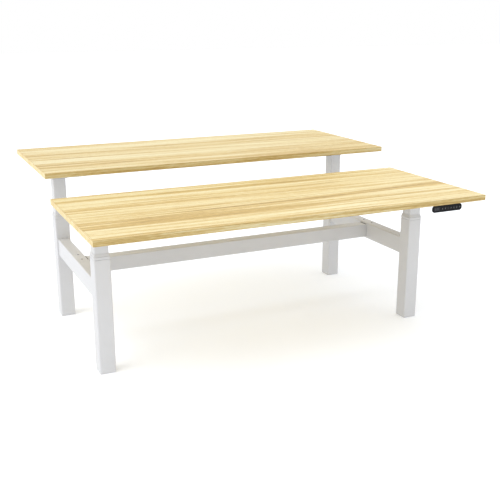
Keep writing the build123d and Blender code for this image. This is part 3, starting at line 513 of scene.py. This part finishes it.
# Each style's head height and shank radius, as shares of the head's radius, and its rings.
BUTTON_SCREW = (0.48, 0.60, button_head)
WOOD_SCREW = (0.556, 0.49, pan_head)
FLAT_SCREW = (0.479, 0.53, flat_head)


def screw_place(points):
    """The top of one CAD screw's head, the way it looks, its head radius and its length."""
    low, high = extent(points)
    middle = (low + high) / 2
    size = high - low
    axis = max(range(3), key=lambda index: size[index])
    radius = min(size) / 2

    def spread_at(point):
        offset = point - middle
        offset[axis] = 0
        return offset.length

    widest = max(points, key=lambda point: round(spread_at(point) / MM, 2))
    sign = 1 if widest[axis] > middle[axis] else -1
    direction = Vector()
    direction[axis] = sign
    return middle + direction * size[axis] / 2, direction, radius, size[axis]


def add_screws(node, body):
    """Detailed screws in place of a CAD node of plain ones."""
    shape = bmesh.new()
    for points in solids(node):
        top, direction, radius, length = screw_place(points)
        if body == "root" or abs(direction.x) > 0.5:
            head, shank, rings = BUTTON_SCREW
        elif direction.z > 0:
            head, shank, rings = FLAT_SCREW
        else:
            head, shank, rings = WOOD_SCREW
        height = head * radius
        seat = aim(top - direction * height, direction)
        turned(shape, seat, thread(length - height, shank * radius) + rings(radius, height))
    add_piece(f"{node}_detailed", shape, body, "zinc_screw_steel", stands_for=(node,))


# ---------------------------------------------------------------- levelling feet
def add_foot(node, body):
    """A fluted pad with a grooved sole on a threaded stud."""
    low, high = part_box(node)
    centre = (low + high) / 2
    radius = (high.x - low.x) / 2
    pad = 5.5 * MM
    stud = 5.0 * MM
    place = Matrix.Translation((centre.x, centre.y, low.z))
    shape = bmesh.new()
    rings = [
        (1.2 * MM, 0.30 * radius, circle),
        (1.2 * MM, 0.42 * radius, circle),
        (0.0, 0.46 * radius, circle),
        (0.0, 0.66 * radius, circle),
        (1.2 * MM, 0.70 * radius, circle),
        (1.2 * MM, 0.78 * radius, circle),
        (0.0, 0.82 * radius, circle),
        (0.0, 0.96 * radius, circle),
        (1.0 * MM, radius, fluted),
        (pad - 1.5 * MM, radius, fluted),
        (pad, 0.93 * radius, circle),
        (pad, 2.0 * stud, hexagon),
        (pad + 0.5 * MM, 1.9 * stud, hexagon),
        (pad + 0.5 * MM, stud, circle),
    ]
    pitch = 1.5 * MM
    height = pad + pitch
    while height < high.z - low.z - pitch:
        rings.append((height, stud, circle))
        rings.append((height + pitch / 2, 0.84 * stud, circle))
        height += pitch
    rings.append((high.z - low.z, 0.75 * stud, circle))
    turned(shape, place, rings, segments=96)
    add_piece(f"{node}_detailed", shape, body, "foot_plastic", stands_for=(node,))


# ---------------------------------------------------------------- motors and gearboxes
LEAD_SOCKET_INSET = 24 * MM
LEAD_SOCKET_OUTLINE = rounded(20 * MM, 13 * MM, 2 * MM)
LEAD_SOCKET_HEIGHT = 6 * MM
CAP_BOLT = button_head(2.6 * MM, 1.6 * MM)
CAP_BOLT_SEAT = 2.2 * MM
RIB_PITCH = 17 * MM
RIB_THICKNESS = 3 * MM
BEARING_OFFSET = 22 * MM
BEARING_COVER = [
    (0, 10.5 * MM, circle),
    (1.6 * MM, 10.5 * MM, circle),
    (2.2 * MM, 9.6 * MM, circle),
]
COVER_BOLT = button_head(1.7 * MM, 0.9 * MM)
COVER_BOLT_RING = 7.4 * MM
COVER_BOLT_SEAT = 2.0 * MM


def motor_rings(radius, length):
    """A motor from its end cap to its worm, as rings along its axis."""
    can = 0.96 * radius
    cap = 0.84 * radius
    shaft = 0.16 * radius
    worm = 0.24 * radius
    profile = [
        (0.000, 0.30 * cap),
        (0.006, 0.34 * cap),
        (0.012, 0.36 * cap),
        (0.013, 0.86 * cap),
        (0.020, 0.97 * cap),
        (0.030, cap),
        (0.060, cap),
        (0.062, can * 0.97),
        (0.068, can),
        (0.140, can),
        (0.143, can * 0.965),
        (0.155, can * 0.965),
        (0.158, can),
        (0.555, can),
        (0.558, can * 0.965),
        (0.570, can * 0.965),
        (0.573, can),
        (0.649, can),
        (0.650, 0.98 * radius),
        (0.655, radius),
        (0.684, radius),
        (0.6875, 0.98 * radius),
        (0.6875, shaft),
        (0.800, shaft),
        (0.801, 0.75 * worm),
    ]
    turns = 8
    step = (0.995 - 0.805) / turns
    for turn in range(turns):
        start = 0.805 + turn * step
        profile += [(start, 0.72 * worm), (start + 0.4 * step, worm), (start + 0.6 * step, worm)]
    profile.append((1.0, 0.72 * worm))
    return [(share * length, reach, circle) for share, reach in profile]


def add_motors(desk):
    """Geared motors with a socket for their lead, in place of the plain ones."""
    node = f"{desk}_motors"
    shape = bmesh.new()
    for points in solids(node):
        low, high = extent(points)
        middle = (low + high) / 2
        side = 1 if middle.x > 0 else -1
        radius = (high.z - low.z) / 2
        start = Vector((low.x if side > 0 else high.x, middle.y, middle.z))
        turned(shape, aim(start, (side, 0, 0)), motor_rings(radius, high.x - low.x), segments=48)
        outward = -DESKS[desk]
        flank = middle.y + outward * 0.90 * radius
        socket = Vector((start.x + side * LEAD_SOCKET_INSET, flank, middle.z))
        place = aim(socket, (0, outward, 0))
        slab(shape, place, LEAD_SOCKET_OUTLINE, LEAD_SOCKET_HEIGHT, 0.8 * MM)
        for bolt in range(4):
            angle = math.pi / 4 + bolt * math.pi / 2
            ring = 0.62 * radius
            offset = Vector((0, ring * math.cos(angle), ring * math.sin(angle)))
            cap_face = start + offset + Vector((side * CAP_BOLT_SEAT, 0, 0))
            turned(shape, aim(cap_face, (-side, 0, 0)), CAP_BOLT, segments=12)
    add_piece(f"{node}_detailed", shape, f"{desk}_lift", "motor_black", stands_for=(node,))


def add_housing_trim(desk):
    """Cast ribs and a bolted bearing cover on each gearbox."""
    ribs = bmesh.new()
    covers = bmesh.new()
    bolts = bmesh.new()
    for points in solids(f"{desk}_gear_housings"):
        low, high = extent(points)
        middle = (low + high) / 2
        side = 1 if middle.x > 0 else -1
        height = high.z - low.z
        for face, outward in ((low.y, -1), (high.y, 1)):
            for step in (-1, 0, 1):
                foot_y = face - outward * 0.5 * MM
                place = aim((middle.x + step * RIB_PITCH, foot_y, middle.z), (0, outward, 0))
                outline = rounded(4 * MM, height - 10 * MM, 1.6 * MM)
                slab(ribs, place, outline, RIB_THICKNESS, 0.8 * MM)
        outer = low.x if side < 0 else high.x
        bearing_y = middle.y + DESKS[desk] * BEARING_OFFSET
        seat = Vector((outer - side * 0.2 * MM, bearing_y, middle.z))
        turned(covers, aim(seat, (side, 0, 0)), BEARING_COVER, segments=36)
        for corner in range(3):
            angle = math.pi / 2 + corner * 2 * math.pi / 3
            across = COVER_BOLT_RING * math.cos(angle)
            up = COVER_BOLT_RING * math.sin(angle)
            offset = Vector((side * COVER_BOLT_SEAT, across, up))
            turned(bolts, aim(seat + offset, (side, 0, 0)), COVER_BOLT, segments=12)
    body = f"{desk}_lift"
    add_piece(f"{desk}_housing_ribs", ribs, body, "cast_aluminium")
    add_piece(f"{desk}_bearing_covers", covers, body, "zinc_screw_steel")
    add_piece(f"{desk}_cover_bolts", bolts, body, "zinc_screw_steel")


# ---------------------------------------------------------------- beam slots
SLOT_WIDTH = 6 * MM
# The painted shade sheets in the beam's end slots: their outline, thickness and depth below the
# beam's top.
SHADE_SHEET_OUTLINE = rounded(5.4 * MM, 56.4 * MM, 0.6 * MM)
SHADE_SHEET_THICKNESS = 2 * MM
SHADE_SHEET_DEPTH = 2.2 * MM


def add_slot_shade_sheets():
    """Dark sheets sunk just under the top of the beam's two end slots: painted shade for the dark
    inside of the open slots.
    """
    low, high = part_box("centre_beam")
    middle = (low + high) / 2
    reach = (high.x - low.x) / 2 - SLOT_WIDTH / 2
    shade_sheets = bmesh.new()
    for side in SIDES.values():
        base = Vector((middle.x + side * reach, middle.y, high.z - SHADE_SHEET_DEPTH))
        slab(shade_sheets, Matrix.Translation(base), SHADE_SHEET_OUTLINE, SHADE_SHEET_THICKNESS, 0.1 * MM)
    add_piece("beam_slot_shade_sheets", shade_sheets, "root", "dark_bracket_steel")


# ---------------------------------------------------------------- control boxes
LOUVRES = 9
LOUVRE_PITCH = 9 * MM
LOUVRE_OUTLINE = rounded(3 * MM, 46 * MM, 1.4 * MM)
SEAM_OUTLINE = rounded(236 * MM, 1.6 * MM, 0.7 * MM)
LAMP_OFFSET = 98 * MM
LAMP_DOME = [
    (-0.5 * MM, 2 * MM, circle),
    (0.4 * MM, 1.9 * MM, circle),
    (0.9 * MM, 1.1 * MM, circle),
]


def add_control_box_trim(desk):
    """Raised louvres, a lid seam and a status lamp on the control box."""
    low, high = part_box(f"{desk}_control_box")
    middle = (low + high) / 2
    body = f"{desk}_lift"
    trim = bmesh.new()
    for step in range(LOUVRES):
        x = middle.x + (step - LOUVRES // 2) * LOUVRE_PITCH
        place = aim((x, middle.y, low.z + 0.3 * MM), (0, 0, -1))
        slab(trim, place, LOUVRE_OUTLINE, 1.3 * MM, 0.5 * MM)
    for face, outward in ((low.y, -1), (high.y, 1)):
        place = aim((middle.x, face - outward * 0.4 * MM, middle.z), (0, outward, 0))
        slab(trim, place, SEAM_OUTLINE, 0.9 * MM, 0.3 * MM)
    add_piece(f"{desk}_box_louvres", trim, body, "case_black")
    lamp = bmesh.new()
    place = aim((middle.x + DESKS[desk] * LAMP_OFFSET, middle.y, low.z), (0, 0, -1))
    turned(lamp, place, LAMP_DOME, segments=24)
    add_piece(f"{desk}_status_lamp", lamp, body, "case_black", LAMP)


# ---------------------------------------------------------------- handsets
SYMBOL = 2.3 * MM
SYMBOL_THICKNESS = 0.15 * MM
PIPS = {
    1: ((0, 0),),
    2: ((-1, 0), (1, 0)),
    3: ((-1, -1), (0, 1), (1, -1)),
    4: ((-1, -1), (-1, 1), (1, -1), (1, 1)),
}
PIP_PITCH = 1.5 * MM
PIP_RADIUS = 1.0 * MM
DIGIT_PITCH = 8 * MM
SEGMENT_THICKNESS = 0.06 * MM


def facing(desk, centre):
    """A frame on the handset's front: X to the reader's right, Y up, Z towards the reader."""
    way = DESKS[desk]
    turn = Matrix(((way, 0, 0), (0, 0, -way), (0, 1, 0))).to_4x4()
    return Matrix.Translation(centre) @ turn


def arrow(way):
    """An arrow head that points up for 1 and down for -1."""
    return [(-SYMBOL, -0.7 * SYMBOL * way), (SYMBOL, -0.7 * SYMBOL * way), (0, SYMBOL * way)][::way]


def add_key_symbols(desk):
    """Generic marks on the keys: two arrows, one to four dots and a ring."""
    for key in range(1, 8):
        body = f"{desk}_button_{key}_body"
        low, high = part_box(f"{desk}_button_{key}")
        middle = (low + high) / 2
        face_y = low.y if DESKS[desk] > 0 else high.y
        place = facing(desk, Vector((middle.x, face_y, middle.z)))
        shape = bmesh.new()
        if key <= 2:
            slab(shape, place, arrow(1 if key == 1 else -1), SYMBOL_THICKNESS)
        elif key <= 6:
            for x, y in PIPS[key - 2]:
                dot = place @ Matrix.Translation((PIP_PITCH * x, PIP_PITCH * y, 0))
                rings = [(0, PIP_RADIUS, circle), (SYMBOL_THICKNESS, PIP_RADIUS, circle)]
                turned(shape, dot, rings)
        else:
            bmesh.ops.create_circle(shape, segments=32, radius=SYMBOL, matrix=place)
            bmesh.ops.create_circle(shape, segments=32, radius=0.6 * SYMBOL, matrix=place)
            bmesh.ops.bridge_loops(shape, edges=shape.edges)
            raised = bmesh.ops.extrude_face_region(shape, geom=shape.faces[:])
            lifted = [part for part in raised["geom"] if isinstance(part, bmesh.types.BMVert)]
            lift = place.to_3x3() @ Vector((0, 0, SYMBOL_THICKNESS))
            bmesh.ops.translate(shape, verts=lifted, vec=lift)
        add_piece(f"{desk}_key_symbol_{key}", shape, body, "button_black", MARKING)


def add_segments(desk):
    """Unlit seven-segment digits on the face of the display window."""
    low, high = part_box(f"{desk}_display_window")
    middle = (low + high) / 2
    face_y = low.y if DESKS[desk] > 0 else high.y
    place = facing(desk, Vector((middle.x, face_y, middle.z)))
    width, height, stroke = 4.4 * MM, 4.6 * MM, 0.9 * MM
    bars = [(0, step * height, width - stroke, stroke) for step in (-1, 0, 1)]
    for sx in (-1, 1):
        for sy in (-1, 1):
            bars.append((sx * width / 2, sy * height / 2, stroke, height - stroke))
    shape = bmesh.new()
    for digit in (-1, 0, 1):
        for x, y, across, up in bars:
            spot = place @ Matrix.Translation((digit * DIGIT_PITCH + x, y, 0))
            slab(shape, spot, rounded(across, up, 0.4 * stroke, steps=2), SEGMENT_THICKNESS)
    add_piece(f"{desk}_display_digits", shape, f"{desk}_lift", "display_dark", UNLIT)


# ---------------------------------------------------------------- floor, light, camera
FLOOR_SIZE = 60.0
FLOOR_GLOW = 0.27
SUN_STRENGTH = 1.2
SUN_SPREAD = math.radians(50)
SUN_DIRECTION = Vector((0.66, 0.06, -0.75))
CAMERA_PLACE = (-1.5426, -3.5131, 1.4694)
CAMERA_TURN = tuple(math.radians(angle) for angle in (90 - 16.480, 0.052, -24.994))
FOCAL_LENGTH = 56.98


def make_floor():
    mesh = bpy.data.meshes.new("floor")
    shape = bmesh.new()
    bmesh.ops.create_grid(shape, x_segments=8, y_segments=8, size=FLOOR_SIZE / 2)
    shape.to_mesh(mesh)
    shape.free()
    floor = bpy.data.objects.new("floor", mesh)
    bpy.context.scene.collection.objects.link(floor)
    g = Graph("pale_floor")
    cloud = g.noise(g.coordinates, scale=1.5, detail=4)
    floor.data.materials.append(
        g.set(
            Base_Color=g.ramp(cloud, [(0.3, (0.82, 0.84, 0.87)), (0.7, (0.84, 0.86, 0.89))]),
            Roughness=g.spread(cloud, 0.75, 0.9),
            Specular_IOR_Level=0.1,
            Emission_Color=(0.97, 0.985, 1.0),
            Emission_Strength=FLOOR_GLOW,
        )
    )


def make_light():
    """An even white studio with one broad soft light from the left and above."""
    world = bpy.data.worlds.new("studio")
    world.use_nodes = True
    background = world.node_tree.nodes["Background"]
    background.inputs["Color"].default_value = (1.0, 1.0, 1.0, 1)
    background.inputs["Strength"].default_value = 1.0
    bpy.context.scene.world = world
    data = bpy.data.lights.new("key", "SUN")
    data.energy = SUN_STRENGTH
    data.angle = SUN_SPREAD
    light = bpy.data.objects.new("key", data)
    light.rotation_euler = SUN_DIRECTION.to_track_quat("-Z", "Y").to_euler()
    bpy.context.scene.collection.objects.link(light)


def make_camera():
    data = bpy.data.cameras.new("camera")
    data.sensor_width = 36.0
    data.lens = FOCAL_LENGTH
    data.clip_end = 200
    camera = bpy.data.objects.new("camera", data)
    camera.location = CAMERA_PLACE
    camera.rotation_euler = CAMERA_TURN
    bpy.context.scene.collection.objects.link(camera)
    bpy.context.scene.camera = camera


# ---------------------------------------------------------------- build
finish_nodes()
add_screws("underframe_screws", "root")
# Painted shade sheets in the beam's end slots.
add_slot_shade_sheets()
for foot in [f"{end}_{hand}" for end in DESKS for hand in SIDES]:
    add_foot(f"levelling_foot_{foot}", f"foot_{foot}")
for desk_name in DESKS:
    finish_board(desk_name)
    add_screws(f"{desk_name}_screws", f"{desk_name}_lift")
    add_motors(desk_name)
    add_housing_trim(desk_name)
    add_control_box_trim(desk_name)
    add_key_symbols(desk_name)
    add_segments(desk_name)
make_floor()
make_light()
make_camera()
bpy.context.scene.view_settings.view_transform = "Standard"
